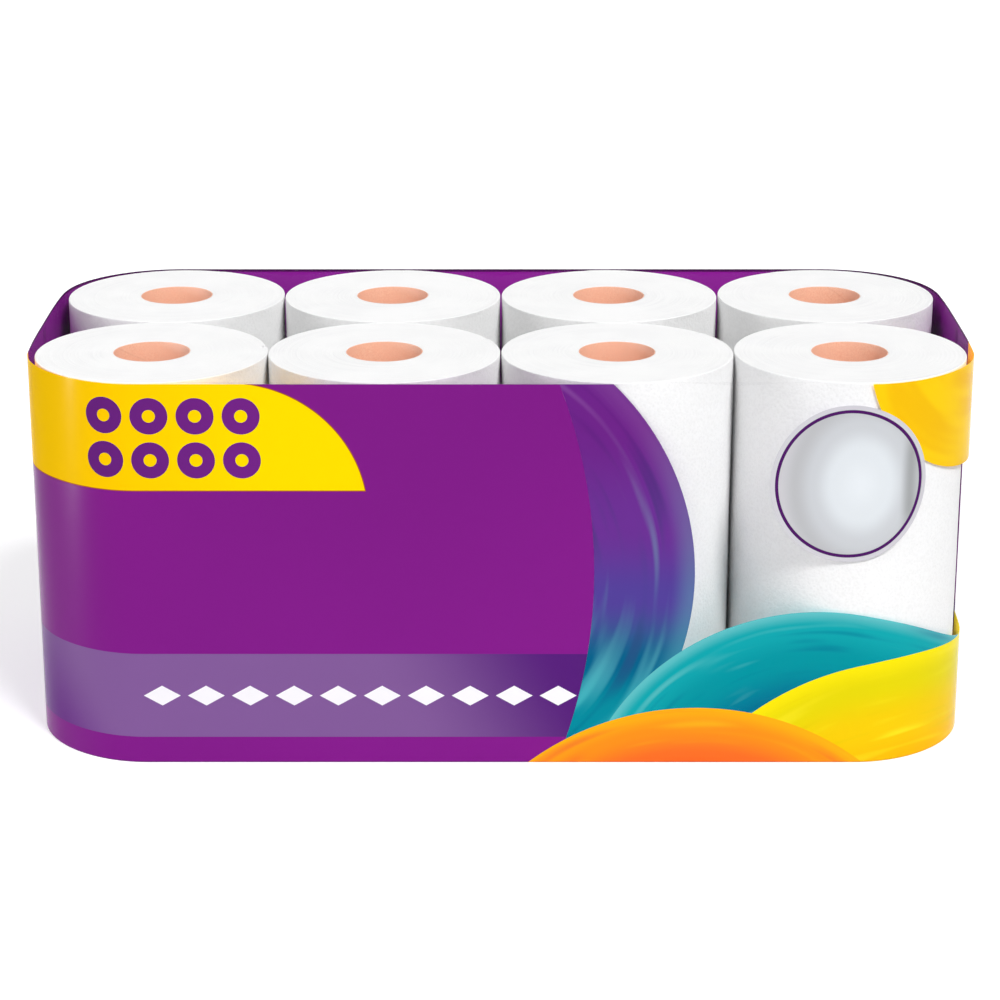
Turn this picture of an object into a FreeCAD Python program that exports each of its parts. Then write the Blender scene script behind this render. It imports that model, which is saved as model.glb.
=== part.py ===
"""Pack of eight kitchen paper towel rolls in a printed film wrap, as a FreeCAD macro in millimetres.

Eight wound rolls stand on end, four across and two deep, each on its own paperboard core tube.
One bag of clear film holds them: a wall drawn round the whole pack, with a top and a bottom sheet and
a printed lap seal down the middle of each end. The print on its wall is a single layer of ink, laid out
as fields of plain colour that meet edge to edge: a purple field and belt, a yellow flag with roll marks,
a crescent, three hills and a corner round a clear window, and a round badge.

The origin is at the middle of the underside. +X runs along the pack, -Y is the printed front, +Z is up.
"""

import FreeCAD, Part
import math
import os

import Sketcher

DOC = FreeCAD.newDocument("towel_roll_pack")

# ---------------------------------------------------------------- driving dimensions

SIZES = [
    # rolls
    ("rolls_across", 4, "rolls along X"),
    ("rolls_deep", 2, "rolls along Y"),
    ("roll_diameter", 164.3, "outside of the wound paper"),
    ("roll_height", 279.4, "width of the towel sheet, eleven inches"),
    ("roll_gap", 0.3, "space between neighbouring rolls"),
    ("roll_edge_radius", 0.8, "softness of the sawn edges"),
    ("sheet_caliper", 0.9, "step at the loose end of the sheet"),
    ("tail_turn", 10, "angle of the first roll's loose end, in degrees"),
    ("tail_turn_step", 15, "how much further each next roll is turned, in degrees"),
    ("turn_pitch", 11, "growth of the wound groove in each end, a turn"),
    ("turn_width", 0.5, "width of that groove"),
    ("turn_depth", 0.4, "depth of that groove"),
    ("turn_margin", 3.5, "plain rim inside and outside the groove"),
    # cores
    ("core_diameter", 54.2, "outside of the core tube"),
    ("core_wall", 0.6, "paperboard thickness"),
    ("core_clearance", 0.05, "between the core tube and the paper"),
    # wrap
    ("film_thickness", 0.35, "wrap film"),
    ("front_clearance", 0.55, "between the rolls and the film, front and back"),
    ("end_clearance", 4.6, "between the rolls and the film at the two ends"),
    ("top_clearance", 0.3, "between the rolls and the top film"),
    ("dip_depth", 3, "dip of the top film into each core"),
    ("dip_clearance", 0.5, "between a dip's rim and the core's bore"),
    ("seal_width", 12, "lap seal on each end"),
    ("seal_thickness", 0.6, "lap seal, out from the film"),
    ("seal_margin", 6, "seal stops this far below the top and above the bottom"),
    # print
    ("ink_thickness", 0.25, "printed layer"),
    ("print_margin", 0.2, "bare film at the bottom edge, and at the back's top edge"),
    ("print_drop", 1.15, "how much lower the print's top edge lies at the front than at the back"),
    ("belt_base", 19.9, "height of the belt's lower edge"),
    ("belt_height", 62.8, "belt"),
    ("lozenge_length", 26, "white lozenge on the belt, along X"),
    ("lozenge_height", 15, "white lozenge on the belt, along Z"),
    ("lozenge_pitch", 31, "from one lozenge to the next"),
    ("lozenge_count", 10, "lozenges"),
    ("lozenge_inset", 293.5, "from the right face to the nearest lozenge's middle"),
    ("flag_length", 148.7, "straight top of the flag, from the left face"),
    ("flag_height", 77.9, "flag, down from the top"),
    ("flag_curve", 94, "radius of the flag's right edge"),
    ("mark_columns", 4, "roll marks in a row"),
    ("mark_rows", 2, "rows of roll marks"),
    ("mark_diameter", 26, "roll mark"),
    ("mark_hole", 9, "middle of a roll mark"),
    ("mark_pitch", 31.5, "from one roll mark to the next"),
    ("mark_inset", 62, "from the left face to the first roll mark's middle"),
    ("mark_drop", 24, "from the top to the first roll mark's middle"),
    ("window_inset", 199, "from the right face to the purple field's edge at half height"),
    ("window_wrap", 28, "window and its artwork, on past the right front corner"),
    ("field_edge_radius", 195, "right edge of the purple field"),
    ("crescent_width", 70, "crescent at half height"),
    ("crescent_inner_radius", 400, "left edge of the crescent"),
    ("teal_radius", 170, "teal hill"),
    ("teal_top", 114, "height of the teal hill"),
    ("teal_inset", 112, "from the right face to the teal hill's top"),
    ("yellow_radius", 190, "yellow hill"),
    ("yellow_top", 78, "height of the yellow hill"),
    ("yellow_inset", 40, "from the right face to the yellow hill's top"),
    ("orange_radius", 190, "orange hill"),
    ("orange_top", 42, "height of the orange hill"),
    ("orange_inset", 196, "from the right face to the orange hill's top"),
    ("corner_radius", 95, "yellow corner of the window"),
    ("corner_overhang", 20, "its centre lies this far above the top"),
    ("corner_outreach", 12, "its centre lies this far outside the right face"),
    ("badge_inset", 93.6, "from the right face to the badge's middle"),
    ("badge_drop", 72.8, "from the top to the badge's middle"),
    ("badge_width", 110, "badge, along X"),
    ("badge_height", 113, "badge, along Z"),
    ("badge_rim", 3.2, "pale rim outside the badge's ring"),
    ("badge_ring", 2.3, "width of the badge's ring"),
    # working room
    ("tool_reach", 5, "how far a cutting shape runs past what it cuts"),
]


def fill_sheet():
    """Writes the sizes in the document's spreadsheet, one alias a row."""
    sheet = DOC.addObject("Spreadsheet::Sheet", "Sizes")
    for row, (alias, value, note) in enumerate(SIZES, start=1):
        sheet.set(f"A{row}", note)
        sheet.set(f"B{row}", str(value))
        sheet.setAlias(f"B{row}", alias)
    DOC.recompute()
    return sheet


SHEET = fill_sheet()
WORKINGS = DOC.addObject("Spreadsheet::Sheet", "Workings")


def size(alias):
    """The number in one cell of the sheet."""
    return float(getattr(SHEET, alias))


def cells(text):
    """An expression with every alias in it turned into a reference to its cell."""
    for alias, _, _ in sorted(SIZES, key=lambda entry: -len(entry[0])):
        text = text.replace(f"[{alias}]", f"Sizes.{alias}")
    return text


def bind(feature, **expressions):
    """Ties properties of a feature to the sheet. A double underscore in a name stands for a dot."""
    for name, text in expressions.items():
        feature.setExpression(name.replace("__", "."), cells(text))


# Expressions that several pieces share.
ROLL_PITCH = "([roll_diameter] + [roll_gap])"
ROLLS_LENGTH = f"({ROLL_PITCH} * [rolls_across] - [roll_gap])"
ROLLS_DEPTH = f"({ROLL_PITCH} * [rolls_deep] - [roll_gap])"
INNER_LENGTH = f"({ROLLS_LENGTH} + 2 * [end_clearance])"
INNER_DEPTH = f"({ROLLS_DEPTH} + 2 * [front_clearance])"
INNER_HEIGHT = "([roll_height] + [top_clearance])"
INNER_CORNER = "([roll_diameter] / 2 + [front_clearance])"
INNER_FOLD = "([roll_edge_radius] + [front_clearance])"
FACE_X = f"({INNER_LENGTH} / 2 + [film_thickness])"
FACE_Y = f"({INNER_DEPTH} / 2 + [film_thickness])"
PACK_TOP = f"({INNER_HEIGHT} + 2 * [film_thickness])"
PRINT_GROW = "([film_thickness] + [ink_thickness])"
OUTER_ROW_Y = f"({ROLL_PITCH} * ([rolls_deep] - 1) / 2)"


# ---------------------------------------------------------------- sketches and features


def body_named(label):
    body = DOC.addObject("PartDesign::Body", label)
    body.AllowCompound = True
    return body


def sketch_on(body, plane_role, name):
    """An empty sketch on one of the body's own origin planes."""
    plane = next(p for p in body.Origin.OriginFeatures if p.Role == plane_role)
    sketch = body.newObject("Sketcher::SketchObject", name)
    sketch.AttachmentSupport = [(plane, "")]
    sketch.MapMode = "FlatFace"
    return sketch


def dimension(sketch, kind, *where, to):
    """Adds a dimension and ties it to the sheet."""
    index = sketch.addConstraint(Sketcher.Constraint(kind, *where, value_of(to)))
    sketch.setExpression(f"Constraints[{index}]", cells(to))


def value_of(text):
    """What an expression comes to now, for drawing a sketch near its final size."""
    WORKINGS.set("A1", f"={cells(text)}")
    WORKINGS.recompute()
    return float(WORKINGS.get("A1"))


def line(sketch, start, end):
    points = [FreeCAD.Vector(x, y, 0) for x, y in (start, end)]
    return sketch.addGeometry(Part.LineSegment(*points), False)


def arc(sketch, centre, radius, start, end):
    circle = Part.Circle(FreeCAD.Vector(*centre, 0), FreeCAD.Vector(0, 0, 1), radius)
    return sketch.addGeometry(Part.ArcOfCircle(circle, start, end), False)


def rounded_rectangle(sketch, half_length, half_depth, corner):
    """A rectangle round the sketch's origin with four equal round corners."""
    x, y, r = value_of(half_length), value_of(half_depth), value_of(corner)
    quarter = math.pi / 2
    lines = [
        line(sketch, (r - x, -y), (x - r, -y)),
        line(sketch, (x, r - y), (x, y - r)),
        line(sketch, (x - r, y), (r - x, y)),
        line(sketch, (-x, y - r), (-x, r - y)),
    ]
    centres = [(x - r, r - y), (x - r, y - r), (r - x, y - r), (r - x, r - y)]
    arcs = [
        arc(sketch, centre, r, (turn - 1) * quarter, turn * quarter)
        for turn, centre in enumerate(centres)
    ]
    for before, after in zip(lines, arcs):
        sketch.addConstraint(Sketcher.Constraint("Tangent", before, 2, after, 1))
    for before, after in zip(arcs, lines[1:] + lines[:1]):
        sketch.addConstraint(Sketcher.Constraint("Tangent", before, 2, after, 1))
    for flat in lines[::2]:
        sketch.addConstraint(Sketcher.Constraint("Horizontal", flat))
    for upright in lines[1::2]:
        sketch.addConstraint(Sketcher.Constraint("Vertical", upright))
    for other in arcs[1:]:
        sketch.addConstraint(Sketcher.Constraint("Equal", arcs[0], other))
    sketch.addConstraint(Sketcher.Constraint("Symmetric", arcs[0], 3, arcs[2], 3, -1, 1))
    dimension(sketch, "Radius", arcs[0], to=corner)
    dimension(sketch, "DistanceX", -1, 1, lines[1], 1, to=half_length)
    dimension(sketch, "DistanceY", lines[0], 1, -1, 1, to=half_depth)


def circle_at_origin(sketch, radius):
    circle = Part.Circle(FreeCAD.Vector(), FreeCAD.Vector(0, 0, 1), value_of(radius))
    index = sketch.addGeometry(circle, False)
    sketch.addConstraint(Sketcher.Constraint("Coincident", index, 3, -1, 1))
    dimension(sketch, "Radius", index, to=radius)


def pad(body, sketch, length, symmetric=False):
    feature = body.newObject("PartDesign::Pad", "Pad")
    feature.Profile = sketch
    feature.SideType = "Symmetric" if symmetric else "One side"
    bind(feature, Length=length)
    DOC.recompute()
    return feature


def rim_edges(shape, heights, least_radius=0):
    """Names of the edges that lie level at one of these heights, outside a radius about Z."""
    names = []
    for number, edge in enumerate(shape.Edges, start=1):
        box = edge.BoundBox
        level = box.ZLength < 1e-6 and any(abs(box.ZMin - z) < 1e-6 for z in heights)
        point = edge.valueAt(edge.FirstParameter)
        if level and math.hypot(point.x, point.y) > least_radius:
            names.append(f"Edge{number}")
    return names


# ---------------------------------------------------------------- rolls


def wound_turns(sketch):
    """A spiral groove of half circles on two centres, so that each half turn joins the next."""
    first = "([core_diameter] / 2 + [core_clearance] + [turn_margin])"
    last = "([roll_diameter] / 2 - [sheet_caliper] - [turn_margin] - [turn_width])"
    turns = int((value_of(last) - value_of(first)) / size("turn_pitch"))
    for half in range(2 * turns):
        lower = half % 2
        offset = size("turn_pitch") / 2 * lower
        for side in ("0", "[turn_width]"):
            radius = f"{first} + [turn_pitch] / 2 * {half} + {side}"
            start = math.pi * lower
            index = arc(sketch, (offset, 0), value_of(radius), start, start + math.pi)
            dimension(sketch, "Radius", index, to=radius)
            for end in (1, 2):
                sketch.addConstraint(Sketcher.Constraint("PointOnObject", index, end, -1))
            sketch.addConstraint(Sketcher.Constraint("PointOnObject", index, 3, -1))
            if lower:
                dimension(sketch, "DistanceX", -1, 1, index, 3, to="[turn_pitch] / 2")
            else:
                sketch.addConstraint(Sketcher.Constraint("PointOnObject", index, 3, -2))
    for radius in (first, f"{first} + [turn_pitch] * {turns}"):
        start = value_of(radius)
        index = line(sketch, (start, 0), (start + size("turn_width"), 0))
        sketch.addConstraint(Sketcher.Constraint("Horizontal", index))
        sketch.addConstraint(Sketcher.Constraint("PointOnObject", index, 1, -1))
        dimension(sketch, "DistanceX", -1, 1, index, 1, to=radius)
        dimension(sketch, "DistanceX", index, 1, index, 2, to="[turn_width]")


def tail_step(sketch):
    """Half a crescent, from nothing to one sheet's thickness, that leaves the sheet's loose end."""
    rim = "[roll_diameter] / 2"
    outer, inner = f"{rim} + [tool_reach]", f"{rim} - [sheet_caliper] / 2"
    shift = size("sheet_caliper") / 2
    outside = arc(sketch, (0, 0), value_of(outer), 0, math.pi)
    inside = arc(sketch, (-shift, 0), value_of(inner), 0, math.pi)
    near = line(sketch, (value_of(inner) - shift, 0), (value_of(outer), 0))
    far = line(sketch, (-value_of(outer), 0), (-value_of(inner) - shift, 0))
    for start, stop in (((near, 2), (outside, 1)), ((outside, 2), (far, 1))):
        sketch.addConstraint(Sketcher.Constraint("Coincident", *start, *stop))
    for start, stop in (((far, 2), (inside, 2)), ((inside, 1), (near, 1))):
        sketch.addConstraint(Sketcher.Constraint("Coincident", *start, *stop))
    sketch.addConstraint(Sketcher.Constraint("Coincident", outside, 3, -1, 1))
    for point in ((outside, 1), (outside, 2), (inside, 1), (inside, 2), (inside, 3)):
        sketch.addConstraint(Sketcher.Constraint("PointOnObject", *point, -1))
    dimension(sketch, "Radius", outside, to=outer)
    dimension(sketch, "Radius", inside, to=inner)
    dimension(sketch, "DistanceX", inside, 3, -1, 1, to="[sheet_caliper] / 2")


def towel_roll(label):
    """One wound roll, modelled about its middle: bore, soft edges, loose end and wound ends."""
    body = body_named(label)
    section = sketch_on(body, "XY_Plane", "RollSection")
    circle_at_origin(section, "[roll_diameter] / 2")
    circle_at_origin(section, "[core_diameter] / 2 + [core_clearance]")
    blank = pad(body, section, "[roll_height]", symmetric=True)

    half = size("roll_height") / 2
    edges = body.newObject("PartDesign::Fillet", "SoftEdges")
    edges.Base = (blank, rim_edges(blank.Shape, (-half, half), size("core_diameter")))
    bind(edges, Radius="[roll_edge_radius]")
    DOC.recompute()

    loose_end = sketch_on(body, "XY_Plane", "LooseEnd")
    tail_step(loose_end)
    step = body.newObject("PartDesign::Pocket", "LooseEndStep")
    step.Profile = loose_end
    step.SideType = "Symmetric"
    bind(step, Length="[roll_height] + 2 * [tool_reach]")
    DOC.recompute()

    turns = sketch_on(body, "XY_Plane", "Turns")
    bind(turns, AttachmentOffset__Base__z="[roll_height] / 2")
    wound_turns(turns)
    groove = body.newObject("PartDesign::Pocket", "TurnsGroove")
    groove.Profile = turns
    bind(groove, Length="[turn_depth]")
    DOC.recompute()

    both_ends = body.newObject("PartDesign::Mirrored", "BothEnds")
    both_ends.Originals = [groove]
    level = next(p for p in body.Origin.OriginFeatures if p.Role == "XY_Plane")
    both_ends.MirrorPlane = (level, [""])
    body.Tip = both_ends
    DOC.recompute()
    return body


def core_tube(label):
    """One paperboard tube, as long as its roll and modelled about its middle."""
    body = body_named(label)
    section = sketch_on(body, "XY_Plane", "CoreSection")
    circle_at_origin(section, "[core_diameter] / 2")
    circle_at_origin(section, "[core_diameter] / 2 - [core_wall]")
    pad(body, section, "[roll_height]", symmetric=True)
    return body


def spot(column, row):
    """Where a roll's axis stands: its column from the left and row from the front, as X and Y."""
    x = f"{ROLL_PITCH} * ({column} - ([rolls_across] - 1) / 2)"
    y = f"{ROLL_PITCH} * ({row} - ([rolls_deep] - 1) / 2)"
    return x, y


def stand(body, column, row, turn):
    """Puts a roll or core on the bottom film at its spot, turned about its axis."""
    body.Placement = FreeCAD.Placement(
        FreeCAD.Vector(), FreeCAD.Rotation(FreeCAD.Vector(0, 0, 1), turn)
    )
    x, y = spot(column, row)
    z = "[film_thickness] + [roll_height] / 2"
    bind(body, Placement__Base__x=x, Placement__Base__y=y, Placement__Base__z=z)


def rolls_and_cores():
    made = []
    across, deep = int(size("rolls_across")), int(size("rolls_deep"))
    for row in range(deep):
        for column in range(across):
            turn = size("tail_turn") + size("tail_turn_step") * (column + across * row)
            for build, name in ((towel_roll, "towel_roll"), (core_tube, "core_tube")):
                body = build(f"{name}_{row + 1}_{column + 1}")
                stand(body, column, row, turn)
                made.append(body)
    return made


# ---------------------------------------------------------------- film wrap


def slab(label, grow):
    """The space inside the film, grown on every side: a rounded block with soft upper and lower edges."""
    body = body_named(label)
    outline = sketch_on(body, "XY_Plane", "Outline")
    rounded_rectangle(
        outline,
        f"{INNER_LENGTH} / 2 + {grow}",
        f"{INNER_DEPTH} / 2 + {grow}",
        f"{INNER_CORNER} + {grow}",
    )
    height = f"{INNER_HEIGHT} + 2 * {grow}"
    block = pad(body, outline, height)
    folds = body.newObject("PartDesign::Fillet", "Folds")
    folds.Base = (block, rim_edges(block.Shape, (0, value_of(height))))
    bind(folds, Radius=f"{INNER_FOLD} + {grow}")
    bind(body, Placement__Base__z=f"[film_thickness] - {grow}")
    DOC.recompute()
    return body


def box(label, low, high):
    """A block between two corners, each given as three expressions."""
    block = DOC.addObject("Part::Box", label)
    bind(
        block,
        Length=f"({high[0]}) - ({low[0]})",
        Width=f"({high[1]}) - ({low[1]})",
        Height=f"({high[2]}) - ({low[2]})",
        Placement__Base__x=low[0],
        Placement__Base__y=low[1],
        Placement__Base__z=low[2],
    )
    return block


def cut(label, base, tool):
    feature = DOC.addObject("Part::Cut", label)
    feature.Base, feature.Tool = base, tool
    return feature


def common(label, base, tool):
    feature = DOC.addObject("Part::Common", label)
    feature.Base, feature.Tool = base, tool
    return feature


def fuse(label, shapes):
    feature = DOC.addObject("Part::MultiFuse", label)
    feature.Shapes = shapes
    return feature


def end_strips(label, inner, outer):
    """A strip down the middle of each end, between two distances out from the film."""
    sides = []
    for side, sign in (("Left", "-1"), ("Right", "1")):
        root = f"({FACE_X} + {inner})"
        face = f"({FACE_X} + {outer})"
        low_x, high_x = (face, root) if side == "Left" else (root, face)
        sides.append(
            box(
                f"{label}{side}",
                (f"{sign} * {low_x}", "-[seal_width] / 2", "[seal_margin]"),
                (f"{sign} * {high_x}", "[seal_width] / 2", f"{PACK_TOP} - [seal_margin]"),
            )
        )
    return fuse(label, sides)


def dips(label, grow):
    """Shallow cones in the top film, one over each core, moved down into the pack by a thickness."""
    rim = "([core_diameter] / 2 - [core_wall] - [dip_clearance])"
    cones = []
    for row in range(int(size("rolls_deep"))):
        for column in range(int(size("rolls_across"))):
            cone = DOC.addObject("Part::Cone", f"{label}_{row + 1}_{column + 1}")
            x, y = spot(column, row)
            bind(
                cone,
                Radius1="0",
                Radius2=f"{rim} * (1 + [tool_reach] / [dip_depth])",
                Height="[dip_depth] + [tool_reach]",
                Placement__Base__x=x,
                Placement__Base__y=y,
                Placement__Base__z=f"{PACK_TOP} - [dip_depth] - {grow}",
            )
            cones.append(cone)
    return fuse(label, cones)


def film_wrap(contents, film_block):
    """The bag: one skin of film all round that dips into the cores."""
    outside = cut("FilmOutside", film_block, dips("OuterDips", "0"))
    inside = cut("FilmInside", contents, dips("InnerDips", "[film_thickness]"))
    return cut("film_wrap", outside, inside)


# ---------------------------------------------------------------- print

FRONT = f"(-{FACE_Y} - [tool_reach])"
WINDOW_BACK = f"([window_wrap] - {OUTER_ROW_Y})"


def front_disc(label, x, z, radius):
    """A round field as seen from the front, reaching back past the right front corner."""
    disc = DOC.addObject("Part::Cylinder", label)
    disc.Placement = FreeCAD.Placement(
        FreeCAD.Vector(), FreeCAD.Rotation(FreeCAD.Vector(1, 0, 0), -90)
    )
    bind(
        disc,
        Radius=radius,
        Height=f"({WINDOW_BACK}) - ({FRONT})",
        Placement__Base__x=x,
        Placement__Base__y=FRONT,
        Placement__Base__z=z,
    )
    return disc


def front_oval(label, x, z, half_width, half_height):
    """An upright oval field as seen from the front."""
    outline = DOC.addObject("Part::Ellipse", f"{label}Outline")
    outline.Placement = FreeCAD.Placement(
        FreeCAD.Vector(), FreeCAD.Rotation(FreeCAD.Vector(1, 1, 1), 240)
    )
    bind(
        outline,
        MajorRadius=half_height,
        MinorRadius=half_width,
        Placement__Base__x=x,
        Placement__Base__y=FRONT,
        Placement__Base__z=z,
    )
    oval = DOC.addObject("Part::Extrusion", label)
    oval.Base = outline
    oval.DirMode = "Custom"
    oval.Dir = FreeCAD.Vector(0, 1, 0)
    oval.Solid = True
    bind(oval, LengthFwd=f"({WINDOW_BACK}) - ({FRONT})")
    return oval


def lozenges(label):
    """A row of upright lozenges along the belt, as one extruded sketch."""
    sketch = DOC.addObject("Sketcher::SketchObject", f"{label}Row")
    sketch.Placement = FreeCAD.Placement(
        FreeCAD.Vector(), FreeCAD.Rotation(FreeCAD.Vector(1, 0, 0), 90)
    )
    half_x, half_z = "[lozenge_length] / 2", "[lozenge_height] / 2"
    middle_z = "[belt_base] + [belt_height] / 2"
    for number in range(int(size("lozenge_count"))):
        middle_x = f"{FACE_X} - [lozenge_inset] - [lozenge_pitch] * {number}"
        x, z = value_of(middle_x), value_of(middle_z)
        points = [
            (x - value_of(half_x), z),
            (x, z + value_of(half_z)),
            (x + value_of(half_x), z),
            (x, z - value_of(half_z)),
        ]
        sides = [line(sketch, a, b) for a, b in zip(points, points[1:] + points[:1])]
        for before, after in zip(sides, sides[1:] + sides[:1]):
            sketch.addConstraint(Sketcher.Constraint("Coincident", before, 2, after, 1))
        places = (
            (f"{middle_x} - {half_x}", middle_z),
            (middle_x, f"{middle_z} + {half_z}"),
            (f"{middle_x} + {half_x}", middle_z),
            (middle_x, f"{middle_z} - {half_z}"),
        )
        for side, (place_x, place_z) in zip(sides, places):
            dimension(sketch, "DistanceX", -1, 1, side, 1, to=place_x)
            dimension(sketch, "DistanceY", -1, 1, side, 1, to=place_z)
    return extruded_front(label, sketch)


def extruded_front(label, sketch):
    """The sketch's closed outlines, extruded from the pack's middle out through its front."""
    feature = DOC.addObject("Part::Extrusion", label)
    feature.Base = sketch
    feature.DirMode = "Custom"
    feature.Dir = FreeCAD.Vector(0, -1, 0)
    feature.Solid = True
    feature.FaceMakerClass = "Part::FaceMakerBullseye"
    bind(feature, LengthFwd=f"-({FRONT})")
    return feature


def roll_marks(label):
    """Rows of rings, one for each roll, like rolls seen from above."""
    sketch = DOC.addObject("Sketcher::SketchObject", f"{label}Rows")
    sketch.Placement = FreeCAD.Placement(
        FreeCAD.Vector(), FreeCAD.Rotation(FreeCAD.Vector(1, 0, 0), 90)
    )
    for row in range(int(size("mark_rows"))):
        for column in range(int(size("mark_columns"))):
            x = f"[mark_inset] + [mark_pitch] * {column} - {FACE_X}"
            z = f"{PACK_TOP} - [mark_drop] - [mark_pitch] * {row}"
            centre = FreeCAD.Vector(value_of(x), value_of(z), 0)
            for diameter in ("[mark_diameter]", "[mark_hole]"):
                ring = Part.Circle(centre, FreeCAD.Vector(0, 0, 1), value_of(diameter) / 2)
                index = sketch.addGeometry(ring, False)
                dimension(sketch, "Diameter", index, to=diameter)
                dimension(sketch, "DistanceX", -1, 1, index, 3, to=x)
                dimension(sketch, "DistanceY", -1, 1, index, 3, to=z)
    return extruded_front(label, sketch)


def print_trim():
    """The space above the print, whose floor rises evenly from the front to the back."""
    low = f"{PACK_TOP} - [print_margin] - [print_drop]"
    trim = box(
        "PrintTrim",
        (f"-{FACE_X} - [tool_reach]", FRONT, low),
        (f"{FACE_X} + [tool_reach]", f"-({FRONT})", f"{PACK_TOP} + [tool_reach]"),
    )
    trim.Placement.Rotation = FreeCAD.Rotation(FreeCAD.Vector(1, 0, 0), 1)
    bind(trim, Placement__Rotation__Angle=f"atan([print_drop] / (-2 * {FRONT}))")
    return trim


def ink_layer(film_block):
    """The layer of ink round the film's wall, open where the two lap seals stand through it."""
    ring = cut("InkSkin", slab("InkBlock", PRINT_GROW), film_block)
    wall = box(
        "InkHeight",
        (f"-{FACE_X} - [tool_reach]", FRONT, "[print_margin]"),
        (f"{FACE_X} + [tool_reach]", f"-({FRONT})", f"{PACK_TOP} - [print_margin]"),
    )
    slots = end_strips("SealSlots", "(-[film_thickness])", "[tool_reach]")
    openings = fuse("Openings", [slots, print_trim()])
    return cut("InkLayer", common("InkWall", ring, wall), openings)


def print_field(label, layer, region, *above):
    """One colour: the ink inside its region, less the fields that are printed over it, one by one."""
    names = [f"{label}_{number}" for number in range(len(above))] + [label]
    field = common(names[0], layer, region)
    for name, upper in zip(names[1:], above):
        field = cut(name, field, upper)
    return field


def printed_fields(film_block):
    """Every colour of the print, each as its own node, flush with its neighbours."""
    layer = ink_layer(film_block)
    left, right = f"(-{FACE_X} - [tool_reach])", f"({FACE_X} + [tool_reach])"
    under, over = "(-[tool_reach])", f"({PACK_TOP} + [tool_reach])"

    marks = roll_marks("Marks")
    flag_arc_x = f"([flag_length] - {FACE_X})"
    flag_base = f"{PACK_TOP} - [flag_height]"
    flag_arc = front_disc("FlagArc", flag_arc_x, f"{PACK_TOP} - [flag_curve]", "[flag_curve]")
    flag_arc_part = common(
        "FlagArcPart",
        flag_arc,
        box("FlagRight", (flag_arc_x, FRONT, flag_base), (right, f"(-{OUTER_ROW_Y})", over)),
    )
    flag_block = box(
        "FlagLeft", (left, FRONT, flag_base), (flag_arc_x, f"(-{OUTER_ROW_Y})", over)
    )
    flag = fuse("Flag", [flag_block, flag_arc_part])

    badge_x, badge_z = f"{FACE_X} - [badge_inset]", f"{PACK_TOP} - [badge_drop]"
    ovals = []
    for name, inset in (
        ("Badge", "0"),
        ("RingOutside", "[badge_rim]"),
        ("RingInside", "([badge_rim] + [badge_ring])"),
    ):
        half_width, half_height = f"[badge_width] / 2 - {inset}", f"[badge_height] / 2 - {inset}"
        ovals.append(front_oval(name, badge_x, badge_z, half_width, half_height))
    badge, ring_outside, ring_inside = ovals
    ring = cut("Ring", ring_outside, ring_inside)

    corner = front_disc(
        "Corner",
        f"{FACE_X} + [corner_outreach]",
        f"{PACK_TOP} + [corner_overhang]",
        "[corner_radius]",
    )
    orange, yellow, teal = [
        front_disc(
            f"{name.title()}Hill",
            f"{FACE_X} - [{name}_inset]",
            f"[{name}_top] - [{name}_radius]",
            f"[{name}_radius]",
        )
        for name in ("orange", "yellow", "teal")
    ]

    middle = f"{PACK_TOP} / 2"
    edge_x = f"({FACE_X} - [window_inset])"
    field_disc = front_disc(
        "FieldEdge", f"{edge_x} - [field_edge_radius]", middle, "[field_edge_radius]"
    )
    crescent_disc = front_disc(
        "CrescentEdge",
        f"{edge_x} - [crescent_width] - [crescent_inner_radius]",
        middle,
        "[crescent_inner_radius]",
    )
    crescent = cut("Crescent", field_disc, crescent_disc)
    right_part = box(
        "RightPart", (f"{edge_x} - [field_edge_radius]", FRONT, under), (right, WINDOW_BACK, over)
    )
    window = cut("Window", right_part, field_disc)

    belt = box(
        "Belt", (left, FRONT, "[belt_base]"), (right, f"-({FRONT})", "[belt_base] + [belt_height]")
    )
    white = lozenges("Lozenges")
    everywhere = box("Everywhere", (left, FRONT, under), (right, f"-({FRONT})", over))

    hills = [orange, yellow, teal]
    return [
        print_field("print_roll_marks", layer, marks),
        print_field("print_flag", layer, flag, marks),
        print_field("print_badge_ring", layer, ring),
        print_field("print_badge", layer, badge, ring),
        print_field("print_corner", layer, corner, badge),
        print_field("print_hill_orange", layer, orange),
        print_field("print_hill_yellow", layer, yellow, orange),
        print_field("print_hill_teal", layer, teal, orange, yellow),
        print_field("print_crescent", layer, crescent, *hills),
        print_field("print_lozenges", layer, white, crescent),
        print_field("print_belt", layer, belt, white, window, crescent, *hills),
        print_field("print_field", layer, everywhere, flag, window, crescent, belt, *hills),
    ]


# ---------------------------------------------------------------- the pack


def check(parts):
    """Stops on any failed feature, and on any piece that isn't made of sound closed solids."""
    failed = [o.Label for o in DOC.Objects if {"Invalid", "Error"} & set(o.State)]
    if failed:
        raise RuntimeError(f"features that failed: {failed}")
    for part in parts:
        shape = part.Shape
        if shape.isNull() or not shape.isValid() or not shape.Solids:
            raise RuntimeError(f"{part.Label} has no valid solid")


def main():
    contents = slab("Contents", "0")
    film_block = slab("FilmBlock", "[film_thickness]")
    parts = rolls_and_cores()
    parts.append(film_wrap(contents, film_block))
    parts.append(end_strips("end_seals", "0", "[seal_thickness]"))
    parts.extend(printed_fields(film_block))
    DOC.recompute()
    check(parts)
    os.makedirs("parts", exist_ok=True)
    for part in parts:
        part.Shape.exportStep(f"parts/{part.Label}.step")
        print(f"{part.Label}: {len(part.Shape.Solids)} solids, {part.Shape.Volume:.0f} mm3")


main()
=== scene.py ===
"""Pack of kitchen paper towel rolls in a printed film wrap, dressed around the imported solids.

The rolls, their cores and the film bag get finer meshes of the same size in the same place. The printed
fields keep their solids' outlines: each is refined round the pack's corners and shaded as a true curve.
Film and print stand out a little across the ends and lie closer to the rolls at the two front corners.
"""

import math

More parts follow.
